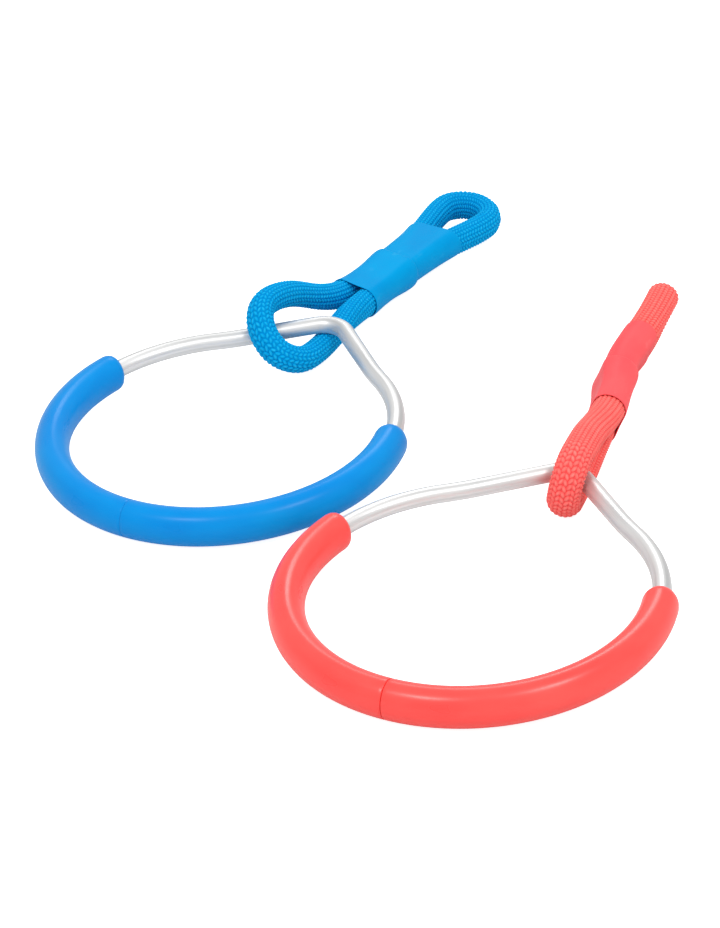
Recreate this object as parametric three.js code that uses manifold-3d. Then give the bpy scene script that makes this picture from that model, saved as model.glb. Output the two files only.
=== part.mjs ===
// A pair of gymnastics rings lying on the floor. Each ring is a rod bent to a rounded shape with a
// pointed top, a soft grip in two halves round the lower part of the rod, and a rope sling looped
// through the top. The sling is one rope: a lower eye round the rod, a far eye to hang it by, and
// two shrunk sleeves that bind its two strands together between the eyes.
// Millimetres and degrees. +X right, +Y away from the front, +Z up, floor at Z = 0.

import * as THREE from 'three';
import { mergeVertices } from 'three/addons/utils/BufferGeometryUtils.js';
import Module from 'manifold-3d';

// ---------- Driving dimensions ----------

const slipGap = 0.4; // between pieces that touch or slide on each other
const seatGap = 1.3; // between the rod and the rope under it

// The bent rod, measured on its centre line.
const rodDiameter = 8.4;
const ringRadius = 80; // the round lower part
const apexRise = 20.4; // how far the top stands above that circle
const apexRadius = 13; // the bend at the top
const shoulderRadius = 140; // the hollow bend on each side of the top
const shoulderTurn = 6.1; // how far that bend turns
const rodJointGap = 0.6; // between the rod's two ends, inside the grip

// The grip, two halves that butt together opposite the top.
const gripThickness = 16; // in the ring's plane
const gripBreadth = 18.4; // across it
const gripReach = 18; // where a half ends, above the ring's widest line
const gripNeckLength = 9; // the rounded end
const gripNeckThickness = 12;
const gripJointGap = 0.4;

// The rope, flattened a little across the plane of its eyes.
const ropeThickness = 12.6; // in the plane of the eyes
const ropeBreadth = 15.4; // across that plane
const ropeJointGap = 1; // between the rope's two ends, inside the sleeves
const lowerEyeLength = 70; // sleeve mouth to the far side of the turn round the rod
const farEyeLength = 41;

// The two shrunk sleeves: the lower one laps over the end of the upper one.
const sleeveWall = 1.2;
const lowerSleeveLength = 38;
const upperSleeveLength = 50;
const sleeveLap = 14;

// How each ring and its sling lie. centre is the ring's middle. An eye's radius is that of its turn, on
// the rope's centre line, and its twist is how far its plane is turned up from the floor. toSide is how
// far the sling's centre line lies to the right of the ring's top, and reach is how far the lower eye
// comes past it. hump lifts the strand that climbs over the rod, and bow bends the sling sideways
// between its middle and its ends.
const rings = [
  {
    colour: 'blue',
    grip: 0x0685d4,
    rope: 0x0095d2,
    sleeve: 0x009edc,
    centre: [-0.6675 * ringRadius, 0.9625 * ringRadius],
    heading: -32.2,
    near: { radius: ropeThickness / 2 + 8, twist: 44 },
    far: { radius: ropeThickness / 2 + 6.7, twist: 6 },
    sling: { heading: -35.3, toSide: -15.6, reach: 26 + rodDiameter / 2, hump: rodDiameter - 1.2, bow: 0 },
  },
  {
    colour: 'red',
    grip: 0xfe534f,
    rope: 0xfb6964,
    sleeve: 0xfa555a,
    centre: [0.6675 * ringRadius, -0.9625 * ringRadius],
    heading: -29.2,
    near: { radius: ropeThickness / 2 + 6.3, twist: 102 },
    far: { radius: ropeThickness / 2 + 3.2, twist: 114 },
    sling: { heading: -18.5, toSide: 0.6, reach: 11 + 0.6 * rodDiameter, hump: 0, bow: 2 },
  },
];

const humpLength = 24;
const bowMiddle = 49;
const bowLength = 120;

// Facets.
const rodSides = 12;
const rodSteps = 84;
const gripSides = 16;
const gripSteps = 18;
const ropeSides = 10;
const ropeSteps = 64;
const sleeveStepLength = 8;
const cornerSegments = 2;

// ---------- Worked-out sizes ----------

const rodRadius = rodDiameter / 2;
const gripInPlane = gripThickness / 2;
const gripAcross = gripBreadth / 2;
const apexHeight = ringRadius + apexRise;
const strandOffset = (ropeThickness + slipGap) / 2; // each strand from the sleeves' centre
const sleeveLength = lowerSleeveLength + upperSleeveLength - sleeveLap;
const lapStart = lowerSleeveLength - sleeveLap;
const sleeveOutside = slipGap + sleeveWall; // from the strands
const lapInside = sleeveOutside + slipGap;
const lapOutside = lapInside + sleeveWall;

const radians = THREE.MathUtils.degToRad;

// ---------- Solids ----------

const wasm = await Module();
wasm.setup();

function toSolid(geometry) {
  const bare = geometry.clone();
  bare.deleteAttribute('normal');
  bare.deleteAttribute('uv');
  const merged = mergeVertices(bare, 1e-3);
  const mesh = new wasm.Mesh({
    numProp: 3,
    vertProperties: new Float32Array(merged.attributes.position.array),
    triVerts: Uint32Array.from(merged.index.array),
  });
  return new wasm.Manifold(mesh);
}

function toGeometry(solid) {
  const mesh = solid.getMesh();
  const geometry = new THREE.BufferGeometry();
  geometry.setAttribute('position', new THREE.BufferAttribute(new Float32Array(mesh.vertProperties), 3));
  geometry.setIndex(new THREE.BufferAttribute(new Uint32Array(mesh.triVerts), 1));
  geometry.computeVertexNormals();
  return geometry;
}

// A flat 2-D path, taken as a curve in the XY plane.
class FlatRoute extends THREE.Curve {
  constructor(path) {
    super();
    this.path = path;
  }

  getPoint(t, target = new THREE.Vector3()) {
    const point = this.path.getPoint(t);
    return target.set(point.x, point.y, 0);
  }
}

// A round or oval bar along a flat path. across is its radius out of the path's plane.
function bar(path, across, inPlane, sides, steps) {
  const section = new THREE.Shape();
  section.absellipse(0, 0, across, inPlane, 0, 2 * Math.PI, false, 0);
  const options = { steps, curveSegments: sides / 2, extrudePath: new FlatRoute(path) };
  return new THREE.ExtrudeGeometry(section, options);
}

// ---------- Ring: rod and grip ----------

// Angles of the straight beside the top and of the point where the round part ends.
function shoulderAngles() {
  const bendCentre = ringRadius + shoulderRadius;
  const straightDistance = bendCentre * Math.cos(radians(shoulderTurn)) - shoulderRadius;
  const straight = Math.asin((straightDistance - apexRadius) / (apexHeight - apexRadius));
  return { straight, leave: straight + radians(shoulderTurn) };
}

function rodPath() {
  const { straight, leave } = shoulderAngles();
  const bendCentre = ringRadius + shoulderRadius;
  const bendX = bendCentre * Math.cos(leave);
  const bendY = bendCentre * Math.sin(leave);
  const halfGap = rodJointGap / 2 / ringRadius;
  const bottom = -Math.PI / 2;
  const path = new THREE.Path();
  path.absarc(0, 0, ringRadius, bottom + halfGap, leave, false);
  path.absarc(bendX, bendY, shoulderRadius, leave + Math.PI, straight + Math.PI, true);
  path.absarc(0, apexHeight - apexRadius, apexRadius, straight, Math.PI - straight, false);
  path.absarc(-bendX, bendY, shoulderRadius, -straight, -leave, true);
  path.absarc(0, 0, ringRadius, Math.PI - leave, -bottom + Math.PI - halfGap, false);
  return path;
}

function rodGeometry() {
  return bar(rodPath(), rodRadius, rodRadius, rodSides, rodSteps);
}

// The right half of the grip; the left half is its mirror image.
function gripHalf() {
  const neckAngle = gripNeckLength / ringRadius;
  const end = radians(gripReach);
  const start = -Math.PI / 2 + gripJointGap / 2 / ringRadius;
  const lap = 0.02;
  const body = new THREE.Path();
  body.absarc(0, 0, ringRadius, start, end - neckAngle + lap, false);
  const bore = new THREE.Path();
  bore.absarc(0, 0, ringRadius, start - lap, end + 2 * lap, false);
  const bodySolid = toSolid(bar(body, gripAcross, gripInPlane, gripSides, gripSteps));
  const boreRadius = rodRadius + slipGap;
  const boreSolid = toSolid(bar(bore, boreRadius, boreRadius, rodSides, gripSteps));
  const neckSolid = toSolid(gripNeck(end - neckAngle));
  return toGeometry(bodySolid.add(neckSolid).subtract(boreSolid));
}

// The rounded end of a half, turned on its own axis and set on the end of the arc.
function gripNeck(angle) {
  const neckRadius = gripNeckThickness / 2;
  const outline = new THREE.Path();
  outline.moveTo(0, 0);
  outline.lineTo(gripInPlane, 0);
  outline.absellipse(neckRadius, 0, gripInPlane - neckRadius, gripNeckLength, 0, Math.PI / 2, false, 0);
  outline.lineTo(0, gripNeckLength);
  const points = outline.getPoints(3);
  const neck = new THREE.LatheGeometry(points, gripSides);
  neck.scale(1, 1, gripBreadth / gripThickness);
  neck.rotateZ(angle);
  neck.translate(ringRadius * Math.cos(angle), ringRadius * Math.sin(angle), 0);
  return neck;
}

function mirrored(geometry) {
  const copy = geometry.clone();
  copy.scale(-1, 1, 1);
  const index = copy.index;
  for (let i = 0; i < index.count; i += 3) {
    const first = index.getX(i);
    index.setX(i, index.getX(i + 1));
    index.setX(i + 1, first);
  }
  copy.computeVertexNormals();
  return copy;
}

// ---------- Sling: rope and sleeves, laid out flat along Y, lower mouth at Y = 0 ----------

function ropePath(near, far) {
  const nearTurn = near.radius - lowerEyeLength;
  const farTurn = sleeveLength + farEyeLength - far.radius;
  const nearHandle = -nearTurn * 0.45;
  const farHandle = (farTurn - sleeveLength) * 0.45;
  const joint = lowerSleeveLength - sleeveLap / 2;
  const path = new THREE.Path();
  path.moveTo(-strandOffset, joint - ropeJointGap / 2);
  path.lineTo(-strandOffset, 0);
  path.bezierCurveTo(-strandOffset, -nearHandle, -near.radius, nearTurn + nearHandle, -near.radius, nearTurn);
  path.absarc(0, nearTurn, near.radius, Math.PI, 2 * Math.PI, false);
  path.bezierCurveTo(near.radius, nearTurn + nearHandle, strandOffset, -nearHandle, strandOffset, 0);
  path.lineTo(strandOffset, sleeveLength);
  const farStart = sleeveLength + farHandle;
  path.bezierCurveTo(strandOffset, farStart, far.radius, farTurn - farHandle, far.radius, farTurn);
  path.absarc(0, farTurn, far.radius, 0, Math.PI, false);
  path.bezierCurveTo(-far.radius, farTurn - farHandle, -strandOffset, farStart, -strandOffset, sleeveLength);
  path.lineTo(-strandOffset, joint + ropeJointGap / 2);
  return path;
}

function ropeGeometry(near, far) {
  return bar(ropePath(near, far), ropeBreadth / 2, ropeThickness / 2, ropeSides, ropeSteps);
}

// The outline round both strands, at a distance outside them.
function strandOutline(outside) {
  const halfWidth = strandOffset + ropeThickness / 2 + outside;
  const halfHeight = ropeBreadth / 2 + outside;
  const corner = ropeThickness / 2 + outside;
  const shape = new THREE.Shape();
  shape.absarc(halfWidth - corner, halfHeight - corner, corner, 0, Math.PI / 2, false);
  shape.absarc(corner - halfWidth, halfHeight - corner, corner, Math.PI / 2, Math.PI, false);
  shape.absarc(corner - halfWidth, corner - halfHeight, corner, Math.PI, 1.5 * Math.PI, false);
  shape.absarc(halfWidth - corner, corner - halfHeight, corner, 1.5 * Math.PI, 2 * Math.PI, false);
  return shape;
}

function sleeveBlock(outside, from, to) {
  const steps = Math.ceil((to - from) / sleeveStepLength);
  const options = { depth: to - from, steps, curveSegments: cornerSegments, bevelEnabled: false };
  const block = new THREE.ExtrudeGeometry(strandOutline(outside), options);
  block.rotateX(-Math.PI / 2);
  block.translate(0, from, 0);
  return toSolid(block);
}

function upperSleeve() {
  const start = lapStart + slipGap;
  const skin = sleeveBlock(sleeveOutside, start, sleeveLength);
  const hollow = sleeveBlock(slipGap, start - 1, sleeveLength + 1);
  return toGeometry(skin.subtract(hollow));
}

function lowerSleeve() {
  const skin = sleeveBlock(sleeveOutside, 0, lapStart);
  const lapSkin = sleeveBlock(lapOutside, lapStart - sleeveWall, lowerSleeveLength);
  const hollow = sleeveBlock(slipGap, -1, lapStart);
  const lapHollow = sleeveBlock(lapInside, lapStart, lowerSleeveLength + 1);
  return toGeometry(skin.add(lapSkin).subtract(hollow).subtract(lapHollow));
}

// ---------- How a sling lies ----------

// Height of an eye's centre line when its lower strand rests on the floor.
function restHeight(radius, twist) {
  const inPlane = (ropeThickness / 2) * Math.sin(twist);
  const across = (ropeBreadth / 2) * Math.cos(twist);
  return radius * Math.sin(twist) + Math.hypot(inPlane, across);
}

// Height of the sleeves' centre line when the lap rests on the floor.
function sleeveRestHeight(twist) {
  const corner = ropeThickness / 2 + lapOutside;
  const acrossFlat = (ropeBreadth - ropeThickness) / 2;
  return corner + strandOffset * Math.sin(twist) + acrossFlat * Math.abs(Math.cos(twist));
}

// Turns and bends the flat sling into the way it lies. It turns over within the lower eye.
function lay(geometry, { near, far, sling }) {
  const nearTwist = radians(near.twist);
  const farTwist = radians(far.twist);
  const nearHeight = restHeight(near.radius, nearTwist);
  const farHeight = Math.max(restHeight(far.radius, farTwist), sleeveRestHeight(farTwist));
  const crossing = near.radius - lowerEyeLength;
  const position = geometry.attributes.position;
  for (let i = 0; i < position.count; i += 1) {
    const x = position.getX(i);
    const y = position.getY(i);
    const z = position.getZ(i);
    const along = THREE.MathUtils.smoothstep(y, 0.75 * crossing, 0.1 * sleeveLength);
    const twist = THREE.MathUtils.lerp(nearTwist, farTwist, along);
    const height = THREE.MathUtils.lerp(nearHeight, farHeight, along);
    const climb = 1 - THREE.MathUtils.smoothstep(x, -near.radius, near.radius / 2);
    const hump = sling.hump * climb * Math.exp(-(((y - crossing) / humpLength) ** 2));
    const bend = sling.bow * Math.abs(Math.sin((Math.PI * (y - bowMiddle)) / bowLength));
    position.setX(i, x * Math.cos(twist) + z * Math.sin(twist) + bend);
    position.setZ(i, z * Math.cos(twist) - x * Math.sin(twist) + height + hump);
  }
  geometry.computeVertexNormals();
  return geometry;
}

// ---------- Assembly ----------

function material(color, roughness, metalness) {
  return new THREE.MeshStandardMaterial({ color, roughness, metalness });
}

function named(name, geometry, finish) {
  const mesh = new THREE.Mesh(geometry, finish);
  mesh.name = name;
  return mesh;
}

// The top of the rod rests on the strand of the lower eye that passes under it.
function ringTilt(near) {
  const strandTop = 2 * restHeight(0, radians(near.twist));
  const apexAboveFloor = strandTop + seatGap + rodRadius;
  return Math.asin((apexAboveFloor - gripAcross) / (ringRadius + apexHeight));
}

function ringGroup({ colour, grip, centre, heading, near }) {
  const group = new THREE.Group();
  const tilt = ringTilt(near);
  group.rotation.set(tilt, 0, radians(heading), 'ZYX');
  group.position.set(centre[0], centre[1], gripAcross + ringRadius * Math.sin(tilt));
  const half = gripHalf();
  const steel = material(0xc9ccd0, 0.3, 1);
  const soft = material(grip, 0.38, 0);
  group.add(named(`rod_${colour}`, rodGeometry(), steel));
  group.add(named(`grip_right_${colour}`, half, soft));
  group.add(named(`grip_left_${colour}`, mirrored(half), soft));
  return group;
}

function slingGroup(ring) {
  const { colour, centre, near, far, sling } = ring;
  const group = new THREE.Group();
  const turn = radians(ring.heading);
  const slingTurn = radians(sling.heading);
  const forward = apexHeight * Math.cos(ringTilt(near));
  const top = new THREE.Vector3(centre[0], centre[1], 0);
  top.x -= forward * Math.sin(turn);
  top.y += forward * Math.cos(turn);
  const mouth = new THREE.Vector3(sling.toSide, lowerEyeLength - sling.reach, 0);
  mouth.applyAxisAngle(new THREE.Vector3(0, 0, 1), slingTurn);
  group.position.copy(top.add(mouth));
  group.rotation.z = slingTurn;
  const braid = material(ring.rope, 0.8, 0);
  const shrunk = material(ring.sleeve, 0.45, 0);
  group.add(named(`rope_${colour}`, lay(ropeGeometry(near, far), ring), braid));
  group.add(named(`sleeve_lower_${colour}`, lay(lowerSleeve(), ring), shrunk));
  group.add(named(`sleeve_upper_${colour}`, lay(upperSleeve(), ring), shrunk));
  return group;
}

const pair = new THREE.Group();
for (const ring of rings) {
  pair.add(ringGroup(ring));
  pair.add(slingGroup(ring));
}

// The origin is on the floor, under the middle of the whole pair.
pair.updateMatrixWorld(true);
const box = new THREE.Box3().setFromObject(pair, true);
pair.position.set(-(box.min.x + box.max.x) / 2, -(box.min.y + box.max.y) / 2, -box.min.z);

export default pair;
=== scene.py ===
"""A pair of gymnastics rings on the floor: bent steel rods, soft grips and braided rope slings."""

import math
import random

import bpy
import bmesh
import numpy as np
from mathutils import Matrix, Vector
from mathutils.kdtree import KDTree


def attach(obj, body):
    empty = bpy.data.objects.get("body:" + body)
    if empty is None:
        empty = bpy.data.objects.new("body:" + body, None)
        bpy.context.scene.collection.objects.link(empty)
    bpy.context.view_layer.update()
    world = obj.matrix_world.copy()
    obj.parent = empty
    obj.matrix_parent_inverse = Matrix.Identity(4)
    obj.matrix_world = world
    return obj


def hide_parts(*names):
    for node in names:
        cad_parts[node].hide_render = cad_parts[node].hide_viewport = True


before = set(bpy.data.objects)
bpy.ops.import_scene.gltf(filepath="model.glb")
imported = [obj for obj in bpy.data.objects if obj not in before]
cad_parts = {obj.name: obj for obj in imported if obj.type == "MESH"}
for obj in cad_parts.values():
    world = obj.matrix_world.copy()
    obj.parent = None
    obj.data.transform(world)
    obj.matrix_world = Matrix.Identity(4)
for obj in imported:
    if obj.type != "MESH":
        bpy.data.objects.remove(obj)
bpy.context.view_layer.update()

MM = 0.001
BOTTOM = -math.pi / 2    # the ring's lowest place, opposite its top

# ---------- Sizes, in millimetres ----------

SLIP_GAP = 0.4           # between the two strands of a sling

ROD_DIAMETER = 8.4
RING_RADIUS = 80
APEX_RISE = 20.4
APEX_RADIUS = 13
SHOULDER_RADIUS = 140
SHOULDER_TURN = 6.1
ROD_JOINT_GAP = 0.6
ROD_SIDES = 32
ROD_ROUND_STEPS = 110    # round each half of the ring's circle
ROD_SHOULDER_STEPS = 8
ROD_APEX_STEPS = 28

GRIP_THICKNESS = 16
GRIP_BREADTH = 18.4
GRIP_REACH = 18
GRIP_END_ROUNDING = 4.6  # length of the rounded end
GRIP_END_CORNER = 3.4    # how far the end draws in
GRIP_END_SHARES = (0.25, 0.5, 0.72, 0.88, 0.97, 1.0)
GRIP_LIP = 0.7           # how far the grip stands off the rod at its end
GRIP_LIP_DEPTH = 0.8
GRIP_BORE_GAP = 0.15
GRIP_JOINT_BEVEL = 0.1   # the least rounding where the halves butt; a wide joint gets more
GRIP_SIDES = 48
GRIP_STEPS = 84

ROPE_THICKNESS = 12.6
ROPE_BREADTH = 15.4
LOWER_EYE_LENGTH = 70
FAR_EYE_LENGTH = 41
EYE_HANDLE = 0.45        # how fully each strand swings out into its eye
ROUTE_STEPS = 60
CORE_SIDES = 24
CORE_STEP = 1.6
CORE_SINK = 0.38         # share of a stitch's height that lies in the core

LOWER_SLEEVE_LENGTH = 38
UPPER_SLEEVE_LENGTH = 50
SLEEVE_LAP = 14
SLEEVE_WALL = 0.5
LOWER_SPREAD = 8         # where the strands start to part, inside the lower mouth
FAR_SPREAD = 16
BRAID_LAP = 5            # how far the far braid starts short of that place
SLEEVE_DIP = 0.02        # how far the sleeve sinks between the strands
SLEEVE_SIDES = 48
FAR_MOUTH_SLANT = 0.16   # the far mouth's edge runs further up on the right
FAR_MOUTH_ZONE = (60, 73)

HUMP_LENGTH = 24         # of the rise where a strand crosses the rod
BOW_MIDDLE = 49
BOW_LENGTH = 120
SAG_LENGTH = 28

BRAID_COLUMNS = 20
PATTERN_COLUMNS = 4      # the braid's pattern repeats after these
STITCH_PITCH = 2.0
STITCH_LENGTH = 2.6
STITCH_WIDTH = 1.7
STITCH_HEIGHT = 1.6
STITCH_LEAN = 36
STITCH_CORNERS = 26      # corners of one stitch's mesh

APEX_HEIGHT = RING_RADIUS + APEX_RISE
STRAND_OFFSET = (ROPE_THICKNESS + SLIP_GAP) / 2
SLEEVE_LENGTH = LOWER_SLEEVE_LENGTH + UPPER_SLEEVE_LENGTH - SLEEVE_LAP
ROPE_JOINT = LOWER_SLEEVE_LENGTH - SLEEVE_LAP / 2   # where the rope's ends meet, inside the sleeves
LAP_OUTSIDE = 3.2        # how far the two sleeves stand off the strands where they lap

# Each ring: where its middle lies, its heading and tilt, and the joint between its grip's halves.
# Its sling: where the lower mouth lies and how the sling is turned from +Y; the radius and twist of
# the near (lower) and far eye; and how far it rises, humps over the rod, bows, sags and leans.
RINGS = {
    "blue": {
        "middle": (-66.4, 6.73, 13.82),
        "heading": -32.2,
        "tilt": 3.31,
        "seam": 0.08,
        "mouth": (-2.2, 133.8),
        "turn": -35.3,
        "near": (15, 40),
        "far": (13, 6),
        "rise": 1.2,
        "hump": 5.3,
        "bow": 0,
        "sag": 0,
        "lean": -2,
    },
    "red": {
        "middle": (40.4, -147.27, 13.2),
        "heading": -29.2,
        "tilt": 2.87,
        "seam": 0.3,
        "mouth": (107.01, -8.75),
        "turn": -18.5,
        "near": (12.6, 102),
        "far": (9.5, 114),
        "rise": 0,
        "hump": 0,
        "bow": 2,
        "sag": 2.6,
        "lean": 0.5,
    },
}

# Stations along each sleeve: place along the sling, half width, half height.
LOWER_STATIONS = (
    (-0.4, 13.9, 8.2),
    (0.6, 13.8, 8.2),
    (5, 13.2, 8.0),
    (12, 12.6, 7.7),
    (19, 12.5, 7.7),
    (25, 12.8, 8.1),
    (31, 13.4, 8.8),
    (35, 13.7, 9.0),
    (37.2, 13.6, 8.9),
    (38, 13.3, 8.6),
)
UPPER_STATIONS = (
    (25, 12.1, 7.3),
    (33, 12.3, 7.5),
    (40, 12.4, 7.6),
    (47, 12.6, 7.7),
    (55, 12.9, 7.9),
    (63, 13.6, 8.0),
    (70, 14.6, 8.2),
    (73.4, 15.1, 8.2),
    (74.4, 15.2, 8.2),
)

# Looks: index of refraction of each finish, and strength and depth of its fine bumps.
SPECULAR_LEVEL = 0.5
BLUE_GRIP_IOR = 1.22
RED_GRIP_IOR = 1.42
ROPE_IOR = 1.1
SLEEVE_IOR = 1.1
STEEL_METALLIC = 0.75
STEEL_BUMP = (0.25, 0.15)
GRIP_BUMP = (0.25, 0.5)
ROPE_BUMP = (0.4, 0.12)
SLEEVE_BUMP = (0.3, 0.4)

# The studio, in metres, watts and degrees.
FLOOR_SIZE = 12
FLOOR_GREY = 0.78
FLOOR_GLOW = 0.85        # only as the camera sees it
WORLD_STRENGTH = 0.72
LIGHTS = (
    ("key_left", (-0.65, -0.9, 1.5), 0.4, 0.16, 9),
    ("key_right", (0.75, -0.8, 1.5), 0.4, 0.16, 9),
    ("back", (0.3, 1.4, 1.3), 0.6, 0.2, 6),
)
CAMERA_PLACE = (-0.00443, -1.40192, 0.810)
CAMERA_PITCH = 30.18
CAMERA_ROLL = -3.48
CAMERA_LENS = 135.45     # millimetres, on a 36 mm wide sensor

# ---------- Working helpers ----------


def deselect():
    bpy.ops.object.select_all(action="DESELECT")


def only(piece):
    deselect()
    piece.select_set(True)
    bpy.context.view_layer.objects.active = piece


def freeze(piece):
    only(piece)
    bpy.ops.object.transform_apply(location=True, rotation=True, scale=True)


def edit(piece):
    only(piece)
    bpy.ops.object.mode_set(mode="EDIT")


def done():
    bpy.ops.object.mode_set(mode="OBJECT")


def pick(piece, kind, test):
    """Selects the verts, edges or faces for which test says yes, in edit mode."""
    bpy.ops.mesh.select_all(action="DESELECT")
    bpy.ops.mesh.select_mode(type={"verts": "VERT", "edges": "EDGE", "faces": "FACE"}[kind])
    mesh = bmesh.from_edit_mesh(piece.data)
    for item in getattr(mesh, kind):
        item.select_set(bool(test(item)))
    mesh.select_flush_mode()
    bmesh.update_edit_mesh(piece.data)


def apply_modifiers(piece):
    only(piece)
    for modifier in list(piece.modifiers):
        bpy.ops.object.modifier_apply(modifier=modifier.name)


def corners(piece):
    flat = np.empty(len(piece.data.vertices) * 3)
    piece.data.vertices.foreach_get("co", flat)
    return flat.reshape(-1, 3)


def set_corners(piece, places):
    piece.data.vertices.foreach_set("co", np.asarray(places, dtype=np.float32).ravel())
    piece.data.update()


def keep_attribute(piece, name, values):
    values = np.asarray(values, dtype=np.float32)
    kind = "FLOAT_VECTOR" if values.ndim == 2 else "FLOAT"
    attribute = piece.data.attributes.new(name, kind, "POINT")
    attribute.data.foreach_set("vector" if values.ndim == 2 else "value", values.ravel())


def outward(piece):
    edit(piece)
    bpy.ops.mesh.select_all(action="SELECT")
    bpy.ops.mesh.normals_make_consistent(inside=False)
    done()


def smooth(piece, angle=40):
    only(piece)
    bpy.ops.object.shade_smooth_by_angle(angle=math.radians(angle))


def cap_ends(piece):
    edit(piece)
    bpy.ops.mesh.select_all(action="DESELECT")
    bpy.ops.mesh.select_mode(type="VERT")
    bpy.ops.mesh.select_non_manifold()
    bpy.ops.mesh.fill_holes(sides=0)
    done()


# ---------- Ring: rod and grip, modelled in the ring's own plane ----------


def shoulder_angles():
    bend_centre = RING_RADIUS + SHOULDER_RADIUS
    straight_distance = bend_centre * math.cos(math.radians(SHOULDER_TURN)) - SHOULDER_RADIUS
    straight = math.asin((straight_distance - APEX_RADIUS) / (APEX_HEIGHT - APEX_RADIUS))
    return straight, straight + math.radians(SHOULDER_TURN)


def shoulder_centre(leave):
    bend_centre = RING_RADIUS + SHOULDER_RADIUS
    return (bend_centre * math.cos(leave), bend_centre * math.sin(leave))


def arc_point(centre, radius, angle):
    return Vector((centre[0] + radius * math.cos(angle), centre[1] + radius * math.sin(angle), 0))


def section_on_arc(radius, sides, angle):
    """A circle of vertices standing across the round part of the ring, at an angle from its middle."""
    place = arc_point((0, 0), RING_RADIUS, angle) * MM
    stand = (0, math.radians(90), angle + math.radians(90))
    bpy.ops.mesh.primitive_circle_add(vertices=sides, radius=radius * MM, location=place, rotation=stand)
    section = bpy.context.object
    freeze(section)
    return section


def sweep(turn, centre, steps):
    """Spins the selected section on about a point in the ring's plane; a positive turn is anticlockwise."""
    place = Vector((centre[0], centre[1], 0)) * MM
    bpy.ops.mesh.spin(steps=steps, angle=-turn, center=place, axis=(0, 0, 1), use_auto_merge=False)


def pull(vector):
    move = {"value": Vector(vector) * MM}
    bpy.ops.mesh.extrude_region_move(TRANSFORM_OT_translate=move)


def make_rod(name):
    straight, leave = shoulder_angles()
    bend_right = shoulder_centre(leave)
    bend_left = (-bend_right[0], bend_right[1])
    apex = (0, APEX_HEIGHT - APEX_RADIUS)
    half_gap = ROD_JOINT_GAP / 2 / RING_RADIUS
    bend_end = arc_point(bend_right, SHOULDER_RADIUS, straight + math.pi)
    apex_start = arc_point(apex, APEX_RADIUS, straight)
    run = apex_start - bend_end
    rod = section_on_arc(ROD_DIAMETER / 2, ROD_SIDES, BOTTOM + half_gap)
    rod.name = name
    edit(rod)
    bpy.ops.mesh.select_all(action="SELECT")
    sweep(leave - BOTTOM - half_gap, (0, 0), ROD_ROUND_STEPS)
    sweep(-(leave - straight), bend_right, ROD_SHOULDER_STEPS)
    pull(run)
    sweep(math.pi - 2 * straight, apex, ROD_APEX_STEPS)
    pull((run.x, -run.y, 0))
    sweep(-(leave - straight), bend_left, ROD_SHOULDER_STEPS)
    sweep(leave - BOTTOM - half_gap, (0, 0), ROD_ROUND_STEPS)
    done()
    cap_ends(rod)
    outward(rod)
    smooth(rod)
    return rod


def ring_line():
    """The rod's centre line as close points, from its right end round to its left end."""
    straight, leave = shoulder_angles()
    bend = shoulder_centre(leave)
    right = np.concatenate([
        arc((0, 0), RING_RADIUS, BOTTOM, leave, 400),
        arc(bend, SHOULDER_RADIUS, leave + math.pi, straight + math.pi, 40),
        arc((0, APEX_HEIGHT - APEX_RADIUS), APEX_RADIUS, straight, math.pi / 2, 40),
    ])
    return np.concatenate([right, right[::-1] * (-1, 1)])


def along_ring(piece):
    """Stores for every corner its place as if the ring were pulled straight: length round, across, out."""
    places = corners(piece) / MM
    line, lengths = joined([ring_line()])
    tree = KDTree(len(line))
    for i, point in enumerate(line):
        tree.insert((point[0], point[1], 0), i)
    tree.balance()
    nearest = np.array([tree.find((x, y, 0))[1] for x, y, _ in places])
    ahead = line[np.minimum(nearest + 1, len(line) - 1)] - line[np.maximum(nearest - 1, 0)]
    ahead /= np.linalg.norm(ahead, axis=1)[:, None]
    away = places[:, :2] - line[nearest]
    length = lengths[nearest] + (away * ahead).sum(axis=1)
    out = away[:, 0] * ahead[:, 1] - away[:, 1] * ahead[:, 0]
    keep_attribute(piece, "straight", np.stack([length, places[:, 2], out], axis=1) * MM)


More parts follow.
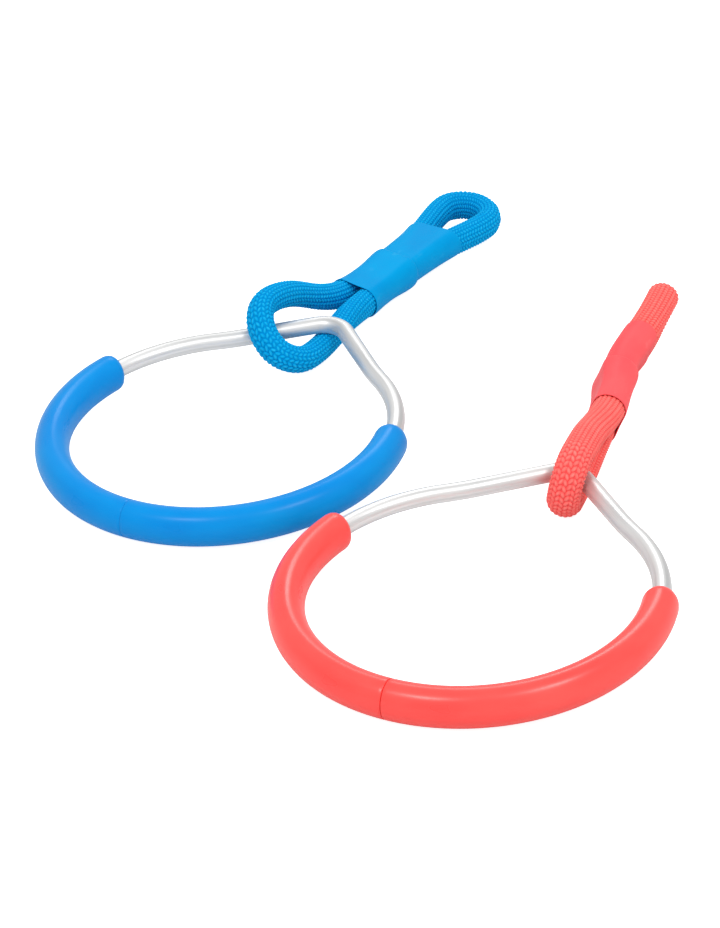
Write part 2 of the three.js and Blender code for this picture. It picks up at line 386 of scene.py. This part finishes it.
def make_grip_half(name, seam):
    """The right half: a swept oval, its end rounded down to the rod, with the bore carried back inside."""
    start = BOTTOM + seam / 2 / RING_RADIUS
    end = math.radians(GRIP_REACH)
    rounding = GRIP_END_ROUNDING / RING_RADIUS
    grip = section_on_arc(GRIP_THICKNESS / 2, GRIP_SIDES, start)
    grip.name = name
    edit(grip)
    bpy.ops.mesh.select_all(action="SELECT")
    middle = arc_point((0, 0), RING_RADIUS, start) * MM
    breadth = GRIP_BREADTH / GRIP_THICKNESS
    bpy.ops.transform.resize(value=(1, 1, breadth), center_override=middle)
    sweep(end - rounding - start, (0, 0), GRIP_STEPS)
    rod_radius = ROD_DIAMETER / 2
    full = (GRIP_THICKNESS / 2, GRIP_BREADTH / 2)
    size = full
    angle = end - rounding
    for share in GRIP_END_SHARES:
        lean = share * math.pi / 2
        shrink = GRIP_END_CORNER * (1 - math.cos(lean))
        target = (full[0] - shrink, full[1] - shrink)
        step = GRIP_END_ROUNDING * math.sin(lean) / RING_RADIUS - (angle - (end - rounding))
        sweep(step, (0, 0), 1)
        angle += step
        shrink_to(size, target, angle)
        size = target
    lip = (rod_radius + GRIP_LIP, rod_radius + GRIP_LIP)
    bpy.ops.mesh.extrude_region_move(TRANSFORM_OT_translate={"value": (0, 0, 0)})
    shrink_to(size, lip, angle)
    bore = (rod_radius + GRIP_BORE_GAP, rod_radius + GRIP_BORE_GAP)
    sweep(-GRIP_LIP_DEPTH / RING_RADIUS, (0, 0), 1)
    angle -= GRIP_LIP_DEPTH / RING_RADIUS
    shrink_to(lip, bore, angle)
    sweep(start - angle, (0, 0), GRIP_STEPS)
    done()
    edit(grip)
    bpy.ops.mesh.select_all(action="DESELECT")
    bpy.ops.mesh.select_mode(type="VERT")
    bpy.ops.mesh.select_non_manifold()
    bpy.ops.mesh.select_mode(type="EDGE")
    bpy.ops.mesh.bridge_edge_loops()
    done()
    outward(grip)
    rounded_joint(grip, seam)
    smooth(grip, 50)
    return grip


def rounded_joint(grip, seam):
    """Softens the sharp rim where the two halves butt together."""
    edit(grip)
    limit = (seam / 2 + 0.05) * MM
    outer = (ROD_DIAMETER / 2 + 1) * MM

    def on_rim(edge):
        a, b = edge.verts[0].co, edge.verts[1].co
        far = min(math.hypot(v.z, abs(v.y) - RING_RADIUS * MM) for v in (a, b))
        return max(a.x, b.x) < limit and a.y < 0 and far > outer

    pick(grip, "edges", on_rim)
    bpy.ops.mesh.bevel(offset=(GRIP_JOINT_BEVEL + 0.8 * seam) * MM, segments=2, affect="EDGES")
    done()


def shrink_to(size, target, angle):
    """Scales the selected section from one oval to another, about its own middle on the ring."""
    middle = arc_point((0, 0), RING_RADIUS, angle) * MM
    in_plane = target[0] / size[0]
    across = target[1] / size[1]
    bpy.ops.transform.resize(value=(in_plane, in_plane, across), center_override=middle)


def mirrored_half(piece, name):
    only(piece)
    bpy.ops.object.duplicate(linked=False)
    other = bpy.context.object
    other.name = name
    other.scale.x = -1
    freeze(other)
    outward(other)
    smooth(other, 50)
    return other


def ring_place(ring):
    tilt = Matrix.Rotation(math.radians(ring["tilt"]), 4, "X")
    turn = Matrix.Rotation(math.radians(ring["heading"]), 4, "Z")
    return Matrix.Translation(Vector(ring["middle"]) * MM) @ turn @ tilt


def put(piece, place):
    piece.matrix_world = place
    freeze(piece)


# ---------- Sling: modelled straight, then led along its route and laid down ----------


def bezier(a, b, c, d, steps):
    t = np.linspace(0, 1, steps)[:, None]
    a, b, c, d = (np.array(p, dtype=float) for p in (a, b, c, d))
    return (1 - t) ** 3 * a + 3 * (1 - t) ** 2 * t * b + 3 * (1 - t) * t * t * c + t**3 * d


def arc(centre, radius, start, end, steps):
    t = np.linspace(start, end, steps)
    return np.stack([centre[0] + radius * np.cos(t), centre[1] + radius * np.sin(t)], axis=1)


def lower_eye_route(ring):
    """From inside the lower mouth on the left, round the eye and back into the mouth on the right."""
    radius = ring["near"][0]
    turn = radius - LOWER_EYE_LENGTH
    handle = -turn * EYE_HANDLE
    left, right = -STRAND_OFFSET, STRAND_OFFSET
    start = LOWER_SPREAD
    return [
        np.array([[left, ROPE_JOINT]]),
        bezier((left, start), (left, -handle), (-radius, turn + handle), (-radius, turn), ROUTE_STEPS),
        arc((0, turn), radius, math.pi, 2 * math.pi, ROUTE_STEPS),
        bezier((radius, turn), (radius, turn + handle), (right, -handle), (right, start), ROUTE_STEPS),
    ]


def far_eye_route(ring):
    """From the far mouth on the right, round the eye and back to the joint inside the sleeves."""
    radius = ring["far"][0]
    turn = SLEEVE_LENGTH + FAR_EYE_LENGTH - radius
    handle = (turn - SLEEVE_LENGTH) * EYE_HANDLE
    left, right = -STRAND_OFFSET, STRAND_OFFSET
    mouth = SLEEVE_LENGTH
    start = mouth - FAR_SPREAD
    return [
        bezier((right, start), (right, mouth), (radius, turn - handle), (radius, turn), ROUTE_STEPS),
        arc((0, turn), radius, 0, math.pi, ROUTE_STEPS),
        bezier((-radius, turn), (-radius, turn - handle), (left, mouth), (left, start), ROUTE_STEPS),
        np.array([[left, ROPE_JOINT]]),
    ]


def joined(route):
    points = np.concatenate(route)
    apart = np.linalg.norm(np.diff(points, axis=0), axis=1) > 1e-6
    points = points[np.concatenate([[True], apart])]
    lengths = np.concatenate([[0], np.cumsum(np.linalg.norm(np.diff(points, axis=0), axis=1))])
    return points, lengths


def lead(piece, route, offset):
    """Leads a piece modelled straight along X, from offset on, along a flat route."""
    points, lengths = joined(route)
    places = corners(piece) / MM
    at = places[:, 0] + offset
    step = 0.5
    middle = np.stack([np.interp(at, lengths, points[:, i]) for i in (0, 1)], axis=1)
    ahead = np.stack([np.interp(at + step, lengths, points[:, i]) for i in (0, 1)], axis=1)
    behind = np.stack([np.interp(at - step, lengths, points[:, i]) for i in (0, 1)], axis=1)
    along = ahead - behind
    along /= np.linalg.norm(along, axis=1)[:, None]
    side = np.stack([-along[:, 1], along[:, 0]], axis=1)
    flat = middle + side * places[:, 1:2]
    set_corners(piece, np.column_stack([flat, places[:, 2]]) * MM)


def smoothstep(x, low, high):
    t = np.clip((x - low) / (high - low), 0, 1)
    return t * t * (3 - 2 * t)


def rest_height(radius, twist):
    in_plane = ROPE_THICKNESS / 2 * math.sin(twist)
    across = ROPE_BREADTH / 2 * math.cos(twist)
    return radius * math.sin(twist) + math.hypot(in_plane, across)


def sleeve_rest_height(twist):
    corner = ROPE_THICKNESS / 2 + LAP_OUTSIDE
    flat = (ROPE_BREADTH - ROPE_THICKNESS) / 2
    return corner + STRAND_OFFSET * math.sin(twist) + flat * abs(math.cos(twist))


def lay(piece, ring):
    """Turns and bends the flat sling into the way it lies, and sets it down in its place."""
    near_twist = math.radians(ring["near"][1])
    far_twist = math.radians(ring["far"][1])
    near_height = rest_height(ring["near"][0], near_twist) + ring["rise"]
    far_height = max(rest_height(ring["far"][0], far_twist), sleeve_rest_height(far_twist))
    crossing = ring["near"][0] - LOWER_EYE_LENGTH
    x, y, z = (corners(piece) / MM).T
    along = smoothstep(y, 0.75 * crossing, 0.1 * SLEEVE_LENGTH)
    twist = near_twist + (far_twist - near_twist) * along
    height = near_height + (far_height - near_height) * along
    climb = 1 - smoothstep(x, -ring["near"][0], ring["near"][0] / 2)
    hump = ring["hump"] * climb * np.exp(-(((y - crossing) / HUMP_LENGTH) ** 2))
    bend = ring["bow"] * np.abs(np.sin(math.pi * (y - BOW_MIDDLE) / BOW_LENGTH))
    bend -= ring["sag"] * np.exp(-(((y - BOW_MIDDLE) / SAG_LENGTH) ** 2))
    lean = ring["lean"] * np.clip(-y / LOWER_EYE_LENGTH, 0, 1) ** 2
    laid_x = x * np.cos(twist) + z * np.sin(twist) + bend + lean
    laid_z = z * np.cos(twist) - x * np.sin(twist) + height + hump
    set_corners(piece, np.column_stack([laid_x, y, laid_z]) * MM)
    turn = Matrix.Rotation(math.radians(ring["turn"]), 4, "Z")
    mouth = Vector((ring["mouth"][0], ring["mouth"][1], 0)) * MM
    put(piece, Matrix.Translation(mouth) @ turn)


def make_core(name, route, ring):
    """The rope's own body under its braid: a cylinder cut into short lengths and led along its route."""
    length = joined(route)[1][-1]
    bpy.ops.mesh.primitive_cylinder_add(
        vertices=CORE_SIDES,
        radius=0.5,
        depth=length * MM,
        location=(length / 2 * MM, 0, 0),
        rotation=(0, math.radians(90), 0),
    )
    core = bpy.context.object
    core.name = name
    freeze(core)
    edit(core)
    bpy.ops.mesh.select_all(action="SELECT")
    sink = STITCH_HEIGHT * CORE_SINK
    oval = (1, (ROPE_THICKNESS - 2 * sink) * MM, (ROPE_BREADTH - 2 * sink) * MM)
    bpy.ops.transform.resize(value=oval, center_override=(0, 0, 0))
    pick(core, "edges", lambda e: abs(e.verts[0].co.x - e.verts[1].co.x) > length / 2 * MM)
    bpy.ops.mesh.subdivide(number_cuts=int(length / CORE_STEP))
    done()
    lead(core, route, 0)
    # Lift 0 all round: the core takes the deep colour, which is painted shade between the stitches.
    keep_attribute(core, "lift", np.zeros(len(core.data.vertices)))
    keep_attribute(core, "tone", np.full(len(core.data.vertices), 0.5))
    lay(core, ring)
    smooth(core, 60)
    return core


def make_braid(name, route, start, end, ring, seed):
    """Small leaning stitches round the rope: each pair of columns is a run of V shapes, and the next
    pair is set half a stitch on."""
    out = ROPE_THICKNESS / 2 - STITCH_HEIGHT / 2
    column_turn = 2 * math.pi / BRAID_COLUMNS
    stitches = []
    for column in range(PATTERN_COLUMNS):
        lean = STITCH_LEAN if column % 2 == 0 else -STITCH_LEAN
        along = STITCH_PITCH / 2 if column > 1 else 0
        upright = (0, math.radians(90), 0)
        bpy.ops.mesh.primitive_uv_sphere_add(segments=6, ring_count=5, radius=0.5 * MM, rotation=upright)
        stitch = bpy.context.object
        freeze(stitch)
        edit(stitch)
        bpy.ops.mesh.select_all(action="SELECT")
        stitch_size = (STITCH_LENGTH, STITCH_HEIGHT, STITCH_WIDTH)
        bpy.ops.transform.resize(value=stitch_size, center_override=(0, 0, 0))
        done()
        turn = Matrix.Rotation(column * column_turn, 4, "X")
        push = Matrix.Translation(Vector((along, out, 0)) * MM)
        put(stitch, turn @ push @ Matrix.Rotation(math.radians(lean), 4, "Y"))
        stitches.append(stitch)
    only(stitches[0])
    for stitch in stitches[1:]:
        stitch.select_set(True)
    bpy.ops.object.join()
    braid = bpy.context.object
    braid.name = name
    bpy.ops.object.empty_add(rotation=(PATTERN_COLUMNS * column_turn, 0, 0))
    step = bpy.context.object
    around = braid.modifiers.new("Around", "ARRAY")
    around.use_relative_offset = False
    around.use_object_offset = True
    around.offset_object = step
    around.count = BRAID_COLUMNS // PATTERN_COLUMNS
    rows = braid.modifiers.new("Rows", "ARRAY")
    rows.use_relative_offset = False
    rows.use_constant_offset = True
    rows.constant_offset_displace = (STITCH_PITCH * MM, 0, 0)
    rows.count = int((end - start) / STITCH_PITCH)
    apply_modifiers(braid)
    only(step)
    bpy.ops.object.delete()
    places = corners(braid) / MM
    radius = np.hypot(places[:, 1], places[:, 2])
    # Lift: a corner's height above the core; the rope finish paints shade where it is low and a highlight
    # where it is high.
    lift = np.clip((radius - (out - 0.2)) / (STITCH_HEIGHT / 2 + 0.2), 0, 1)
    keep_attribute(braid, "lift", lift)
    # Tone: a random share for each stitch, setting how strong its painted highlight is.
    draw = random.Random(seed)
    tones = np.repeat([draw.random() for _ in range(len(places) // STITCH_CORNERS)], STITCH_CORNERS)
    keep_attribute(braid, "tone", tones)
    flatness = (ROPE_BREADTH - ROPE_THICKNESS) / ROPE_THICKNESS
    places[:, 2] *= 1 + flatness * np.clip(2 * radius / ROPE_THICKNESS, 0, 1)
    set_corners(braid, places * MM)
    lead(braid, route, start)
    lay(braid, ring)
    smooth(braid, 80)
    return braid


def make_sleeve(name, stations, ring):
    """A shrunk sleeve: an outline round both strands, drawn out through its stations, with a thin wall.
    A station is (place along the sling, half width, half height)."""
    first = stations[0]
    bpy.ops.mesh.primitive_circle_add(vertices=SLEEVE_SIDES, radius=MM, rotation=(math.radians(90), 0, 0))
    sleeve = bpy.context.object
    sleeve.name = name
    freeze(sleeve)
    edit(sleeve)
    bpy.ops.mesh.select_all(action="SELECT")
    bpy.ops.transform.resize(value=(first[1], 1, first[2]), center_override=(0, 0, 0))
    bpy.ops.transform.translate(value=(0, first[0] * MM, 0))
    before = first
    for station in stations[1:]:
        pull((0, station[0] - before[0], 0))
        middle = (0, station[0] * MM, 0)
        grow = (station[1] / before[1], 1, station[2] / before[2])
        bpy.ops.transform.resize(value=grow, center_override=middle)
        before = station
    done()
    places = corners(sleeve) / MM
    square_up(places, stations)
    near_mouth = smoothstep(places[:, 1], *FAR_MOUTH_ZONE)
    places[:, 1] += (places[:, 0] - STRAND_OFFSET) * FAR_MOUTH_SLANT * near_mouth
    set_corners(sleeve, places * MM)
    wall = sleeve.modifiers.new("Wall", "SOLIDIFY")
    wall.thickness = SLEEVE_WALL * MM
    wall.offset = -1
    wall.use_even_offset = True
    finer = sleeve.modifiers.new("Finer", "SUBSURF")
    finer.levels = 2
    finer.render_levels = 2
    outward(sleeve)
    apply_modifiers(sleeve)
    keep_attribute(sleeve, "straight", corners(sleeve))
    lay(sleeve, ring)
    outward(sleeve)
    smooth(sleeve, 60)
    return sleeve


def square_up(places, stations):
    """Draws the oval outline tight round two strands lying side by side, dipping between them."""
    ys = np.array([s[0] for s in stations], dtype=float)
    half_width = np.interp(places[:, 1], ys, [s[1] for s in stations])
    half_height = np.interp(places[:, 1], ys, [s[2] for s in stations])
    angle = np.arctan2(places[:, 2] / half_height, places[:, 0] / half_width)
    across = half_width * np.cos(angle)
    past_strand = np.clip((np.abs(across) - STRAND_OFFSET) / (half_width - STRAND_OFFSET), 0, 1)
    dip = 1 - SLEEVE_DIP * np.exp(-((across / (0.6 * STRAND_OFFSET)) ** 2))
    places[:, 0] = across
    places[:, 2] = half_height * np.sign(np.sin(angle)) * np.sqrt(1 - past_strand**2) * dip


# ---------- Finishes ----------


class Nodes:
    """Adds and links shader nodes in a material or a group."""

    def __init__(self, tree):
        self.tree = tree

    def add(self, kind, **settings):
        node = self.tree.nodes.new(kind)
        for key, value in settings.items():
            setattr(node, key, value)
        return node

    def link(self, source, target):
        self.tree.links.new(source, target)

    def maths(self, operation, a, b):
        node = self.add("ShaderNodeMath", operation=operation)
        for socket, value in zip(node.inputs, (a, b)):
            if hasattr(value, "is_linked"):
                self.link(value, socket)
            else:
                socket.default_value = value
        return node.outputs[0]

    def noise(self, vector, scale, detail=3, roughness=0.5):
        node = self.add("ShaderNodeTexNoise")
        node.inputs["Scale"].default_value = scale
        node.inputs["Detail"].default_value = detail
        node.inputs["Roughness"].default_value = roughness
        self.link(vector, node.inputs["Vector"])
        return node.outputs["Fac"]

    def stretched(self, vector, scale):
        node = self.add("ShaderNodeMapping")
        node.inputs["Scale"].default_value = scale
        self.link(vector, node.inputs["Vector"])
        return node.outputs["Vector"]

    def between(self, value, low, high, out_low=0.0, out_high=1.0):
        node = self.add("ShaderNodeMapRange")
        self.link(value, node.inputs["Value"])
        node.inputs["From Min"].default_value = low
        node.inputs["From Max"].default_value = high
        node.inputs["To Min"].default_value = out_low
        node.inputs["To Max"].default_value = out_high
        return node.outputs["Result"]

    def mixed(self, factor, a, b):
        node = self.add("ShaderNodeMix", data_type="RGBA")
        self.link(factor, node.inputs["Factor"])
        for socket, value in ((node.inputs["A"], a), (node.inputs["B"], b)):
            if hasattr(value, "is_linked"):
                self.link(value, socket)
            else:
                socket.default_value = value
        return node.outputs["Result"]


def colour(red, green, blue):
    """A colour given as it is seen, 0 to 255, made linear."""

    def straight(value):
        share = value / 255
        return share / 12.92 if share <= 0.04045 else ((share + 0.055) / 1.055) ** 2.4

    return (straight(red), straight(green), straight(blue), 1)


def new_material(name):
    material = bpy.data.materials.new(name)
    material.use_nodes = True
    nodes = Nodes(material.node_tree)
    shader = material.node_tree.nodes["Principled BSDF"]
    return material, nodes, shader


def bump(nodes, height, strength, distance, shader):
    node = nodes.add("ShaderNodeBump")
    node.inputs["Strength"].default_value = strength
    node.inputs["Distance"].default_value = distance * MM
    nodes.link(height, node.inputs["Height"])
    nodes.link(node.outputs["Normal"], shader.inputs["Normal"])


def attribute(nodes, name):
    return nodes.add("ShaderNodeAttribute", attribute_name=name)


def steel_finish():
    """Plated steel: fine streaks along the rod under a slow mottling."""
    material, nodes, shader = new_material("plated_steel")
    place = attribute(nodes, "straight").outputs["Vector"]
    drawn = nodes.noise(nodes.stretched(place, (9, 520, 520)), 1.0, 3, 0.55)
    cloud = nodes.noise(nodes.stretched(place, (30, 70, 70)), 1.0, 3, 0.5)
    base = nodes.mixed(nodes.between(drawn, 0.35, 0.65), colour(204, 205, 205), colour(238, 238, 237))
    tint = nodes.mixed(nodes.between(cloud, 0.45, 0.75, 0, 0.6), base, colour(222, 221, 219))
    nodes.link(tint, shader.inputs["Base Color"])
    nodes.link(nodes.between(cloud, 0.3, 0.7, 0.36, 0.5), shader.inputs["Roughness"])
    shader.inputs["Metallic"].default_value = STEEL_METALLIC
    strength, depth = STEEL_BUMP
    bump(nodes, nodes.maths("ADD", nodes.maths("MULTIPLY", drawn, 0.6), cloud), strength, depth, shader)
    return material


def new_group(name, inputs, outputs):
    """An empty node group; inputs and outputs are pairs of a socket's name and its kind."""
    group = bpy.data.node_groups.new(name, "ShaderNodeTree")
    for way, sockets in (("INPUT", inputs), ("OUTPUT", outputs)):
        for socket, kind in sockets:
            group.interface.new_socket(name=socket, in_out=way, socket_type=f"NodeSocket{kind}")
    nodes = Nodes(group)
    return group, nodes, nodes.add("NodeGroupInput").outputs, nodes.add("NodeGroupOutput").inputs


SURFACE_COLOURS = [("Main", "Color"), ("Deep", "Color"), ("Pale", "Color")]
SURFACE_OUTPUTS = [("Color", "Color"), ("Roughness", "Float"), ("Height", "Float")]


def grip_surface_group():
    """Dipped plastic: slow mottling, a fine orange peel and a few pale scuffs."""
    inputs = [("Place", "Vector")] + SURFACE_COLOURS
    group, nodes, given, result = new_group("dipped_grip_surface", inputs, SURFACE_OUTPUTS)
    place = given["Place"]
    cloud = nodes.noise(nodes.stretched(place, (26, 60, 60)), 1.0, 3, 0.5)
    fine = nodes.noise(nodes.stretched(place, (900, 900, 900)), 1.0, 2, 0.5)
    base = nodes.mixed(nodes.between(cloud, 0.3, 0.7), given["Deep"], given["Main"])
    scuff_place = nodes.noise(nodes.stretched(place, (70, 230, 230)), 1.0, 4, 0.75)
    scuff = nodes.between(scuff_place, 0.735, 0.78)
    nodes.link(nodes.mixed(scuff, base, given["Pale"]), result["Color"])
    sheen = nodes.between(cloud, 0.3, 0.7, 0.26, 0.34)
    nodes.link(nodes.maths("ADD", sheen, nodes.maths("MULTIPLY", scuff, 0.2)), result["Roughness"])
    nodes.link(nodes.maths("ADD", nodes.maths("MULTIPLY", fine, 0.15), cloud), result["Height"])
    return group


def rope_surface_group():
    """Braided yarn: painted shade (the deep colour) between the stitches, a painted highlight (the pale
    colour) on their tops, and a thread grain.
    """
    inputs = [("Place", "Vector"), ("Lift", "Float"), ("Tone", "Float")] + SURFACE_COLOURS
    group, nodes, given, result = new_group("braided_rope_surface", inputs, SURFACE_OUTPUTS)
    place = given["Place"]
    lift = given["Lift"]
    thread = nodes.noise(nodes.stretched(place, (2600, 2600, 2600)), 1.0, 2, 0.6)
    worn = nodes.noise(nodes.stretched(place, (60, 60, 60)), 1.0, 3, 0.5)
    body = nodes.mixed(nodes.between(worn, 0.35, 0.75, 0, 0.25), given["Main"], given["Deep"])
    # Painted shade: low corners, between the stitches and on the core, take the deep colour.
    body = nodes.mixed(nodes.between(lift, 0.0, 0.5), given["Deep"], body)
    # Painted highlight: the tops of the stitches turn pale, more on some stitches than others by their
    # tone.
    each = nodes.between(given["Tone"], 0, 1, 0.25, 1.0)
    painted_highlight = nodes.maths("MULTIPLY", nodes.between(lift, 0.7, 1.0), each)
    nodes.link(nodes.mixed(painted_highlight, body, given["Pale"]), result["Color"])
    nodes.link(nodes.between(thread, 0.3, 0.7, 0.5, 0.65), result["Roughness"])
    nodes.link(thread, result["Height"])
    return group


def sleeve_surface_group():
    """Shrunk sleeve: mottled, with faint ribs across it and soft pale glints painted on as highlights."""
    inputs = [("Place", "Vector")] + SURFACE_COLOURS
    group, nodes, given, result = new_group("shrunk_sleeve_surface", inputs, SURFACE_OUTPUTS)
    place = given["Place"]
    cloud = nodes.noise(nodes.stretched(place, (70, 40, 70)), 1.0, 3, 0.5)
    ribs = nodes.noise(nodes.stretched(place, (420, 60, 420)), 1.0, 2, 0.5)
    base = nodes.mixed(nodes.between(cloud, 0.3, 0.7), given["Deep"], given["Main"])
    # Painted highlight: pale glints in scattered spots.
    spots = nodes.noise(nodes.stretched(place, (160, 90, 160)), 1.0, 3, 0.6)
    painted_glint = nodes.between(spots, 0.62, 0.8, 0, 0.35)
    nodes.link(nodes.mixed(painted_glint, base, given["Pale"]), result["Color"])
    nodes.link(nodes.between(cloud, 0.3, 0.7, 0.34, 0.48), result["Roughness"])
    nodes.link(nodes.maths("ADD", cloud, nodes.maths("MULTIPLY", ribs, 0.5)), result["Height"])
    return group


def surface_finish(name, group, sources, colours, gloss, bumps):
    """A material that places a surface group with its own colours and gives it its gloss and bumps."""
    material, nodes, shader = new_material(name)
    surface = nodes.add("ShaderNodeGroup", node_tree=group)
    for socket, (attribute_name, output) in sources.items():
        nodes.link(attribute(nodes, attribute_name).outputs[output], surface.inputs[socket])
    if "Place" not in sources:
        nodes.link(nodes.add("ShaderNodeTexCoord").outputs["Object"], surface.inputs["Place"])
    for socket, shade in zip(("Main", "Deep", "Pale"), colours):
        surface.inputs[socket].default_value = colour(*shade)
    nodes.link(surface.outputs["Color"], shader.inputs["Base Color"])
    nodes.link(surface.outputs["Roughness"], shader.inputs["Roughness"])
    shader.inputs["IOR"].default_value = gloss
    shader.inputs["Specular IOR Level"].default_value = SPECULAR_LEVEL
    strength, depth = bumps
    bump(nodes, surface.outputs["Height"], strength, depth, shader)
    return material


def grip_finish(name, colours, gloss):
    sources = {"Place": ("straight", "Vector")}
    return surface_finish(name, GRIP_SURFACE, sources, colours, gloss, GRIP_BUMP)


def rope_finish(name, colours):
    sources = {"Lift": ("lift", "Fac"), "Tone": ("tone", "Fac")}
    return surface_finish(name, ROPE_SURFACE, sources, colours, ROPE_IOR, ROPE_BUMP)


def sleeve_finish(name, colours):
    sources = {"Place": ("straight", "Vector")}
    return surface_finish(name, SLEEVE_SURFACE, sources, colours, SLEEVE_IOR, SLEEVE_BUMP)


def dress(piece, material):
    piece.data.materials.clear()
    piece.data.materials.append(material)


# ---------- Making the pair ----------

GRIP_SURFACE = grip_surface_group()
ROPE_SURFACE = rope_surface_group()
SLEEVE_SURFACE = sleeve_surface_group()
STEEL = steel_finish()

# Main, deep and pale colour of each finish, 0 to 255. On the ropes the deep colour is partly painted shade
# between the stitches and the pale colour is a painted highlight on their tops; on the sleeves the pale
# colour is painted glints; on the grips it is scuffs.
FINISHES = {
    "blue": {
        "grip": grip_finish("grip_blue", ((2, 146, 222), (0, 132, 214), (110, 190, 238)), BLUE_GRIP_IOR),
        "rope": rope_finish("rope_blue", ((0, 160, 222), (0, 138, 204), (40, 190, 240))),
        "sleeve": sleeve_finish("sleeve_blue", ((0, 158, 220), (0, 146, 212), (70, 178, 226))),
    },
    "red": {
        "grip": grip_finish("grip_red", ((255, 84, 78), (254, 70, 66), (255, 176, 172)), RED_GRIP_IOR),
        "rope": rope_finish("rope_red", ((255, 116, 110), (244, 84, 84), (255, 140, 132))),
        "sleeve": sleeve_finish("sleeve_red", ((254, 98, 101), (248, 86, 92), (250, 140, 142))),
    },
}

for name, ring in RINGS.items():
    finish = FINISHES[name]
    rod = make_rod(f"steel_rod_{name}")
    along_ring(rod)
    put(rod, ring_place(ring))
    dress(rod, STEEL)
    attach(rod, f"ring_{name}")
    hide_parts(f"rod_{name}")
    right = make_grip_half(f"grip_half_right_{name}", ring["seam"])
    along_ring(right)
    left = mirrored_half(right, f"grip_half_left_{name}")
    for half, side in ((right, "right"), (left, "left")):
        put(half, ring_place(ring))
        dress(half, finish["grip"])
        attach(half, f"ring_{name}")
        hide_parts(f"grip_{side}_{name}")
    lower_route = lower_eye_route(ring)
    far_route = far_eye_route(ring)
    lower_length = joined(lower_route)[1][-1]
    far_length = joined(far_route)[1][-1]
    lower_start = ROPE_JOINT - LOWER_SPREAD
    far_start = FAR_SPREAD - BRAID_LAP
    far_end = far_length - (SLEEVE_LENGTH - ROPE_JOINT) + BRAID_LAP
    rope_parts = [
        make_core(f"rope_lower_{name}", lower_route, ring),
        make_braid(f"braid_lower_{name}", lower_route, lower_start, lower_length, ring, 11),
        make_core(f"rope_far_{name}", far_route, ring),
        make_braid(f"braid_far_{name}", far_route, far_start, far_end, ring, 12),
    ]
    for part in rope_parts:
        dress(part, finish["rope"])
        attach(part, f"sling_{name}")
    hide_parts(f"rope_{name}")
    sleeve_lower = make_sleeve(f"shrunk_sleeve_lower_{name}", LOWER_STATIONS, ring)
    sleeve_upper = make_sleeve(f"shrunk_sleeve_upper_{name}", UPPER_STATIONS, ring)
    for sleeve, where in ((sleeve_lower, "lower"), (sleeve_upper, "upper")):
        dress(sleeve, finish["sleeve"])
        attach(sleeve, f"sling_{name}")
        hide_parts(f"sleeve_{where}_{name}")

# ---------- Floor, light and camera ----------


def make_floor():
    bpy.ops.mesh.primitive_plane_add(size=FLOOR_SIZE, location=(0, 0, 0))
    floor = bpy.context.object
    floor.name = "floor"
    material, nodes, shader = new_material("floor")
    shader.inputs["Base Color"].default_value = (FLOOR_GREY, FLOOR_GREY, FLOOR_GREY, 1)
    shader.inputs["Emission Color"].default_value = (1, 1, 1, 1)
    seen = nodes.add("ShaderNodeLightPath").outputs["Is Camera Ray"]
    nodes.link(nodes.maths("MULTIPLY", seen, FLOOR_GLOW), shader.inputs["Emission Strength"])
    shader.inputs["Roughness"].default_value = 0.9
    shader.inputs["Specular IOR Level"].default_value = 0.1
    floor.data.materials.append(material)


def make_world():
    world = bpy.data.worlds.new("studio")
    world.use_nodes = True
    background = world.node_tree.nodes["Background"]
    background.inputs["Color"].default_value = (1, 1, 1, 1)
    background.inputs["Strength"].default_value = WORLD_STRENGTH
    bpy.context.scene.world = world


def make_light(name, place, width, height, power):
    """A rectangular light that faces the middle of the floor."""
    bpy.ops.object.light_add(type="AREA", location=place)
    light = bpy.context.object
    light.name = name
    light.data.shape = "RECTANGLE"
    light.data.size = width
    light.data.size_y = height
    light.data.energy = power
    light.rotation_euler = (-Vector(place)).to_track_quat("-Z", "Y").to_euler()


def make_camera():
    """Looks along +Y and down at the pair from the front, with a slight roll."""
    pitch = math.radians(CAMERA_PITCH)
    roll = math.radians(CAMERA_ROLL)
    ahead = Vector((0, math.cos(pitch), -math.sin(pitch)))
    up = Vector((0, math.sin(pitch), math.cos(pitch)))
    side = Vector((1, 0, 0))
    right = side * math.cos(roll) + up * math.sin(roll)
    top = up * math.cos(roll) - side * math.sin(roll)
    turn = Matrix((right, top, -ahead)).transposed().to_4x4()
    bpy.ops.object.camera_add(location=(0, 0, 0))
    camera = bpy.context.object
    camera.matrix_world = Matrix.Translation(CAMERA_PLACE) @ turn
    camera.data.sensor_width = 36
    camera.data.lens = CAMERA_LENS
    camera.data.clip_start = 0.05
    camera.data.clip_end = 60
    bpy.context.scene.camera = camera


make_floor()
make_world()
for name, place, width, height, power in LIGHTS:
    make_light(name, place, width, height, power)
make_camera()
bpy.context.scene.view_settings.view_transform = "Standard"
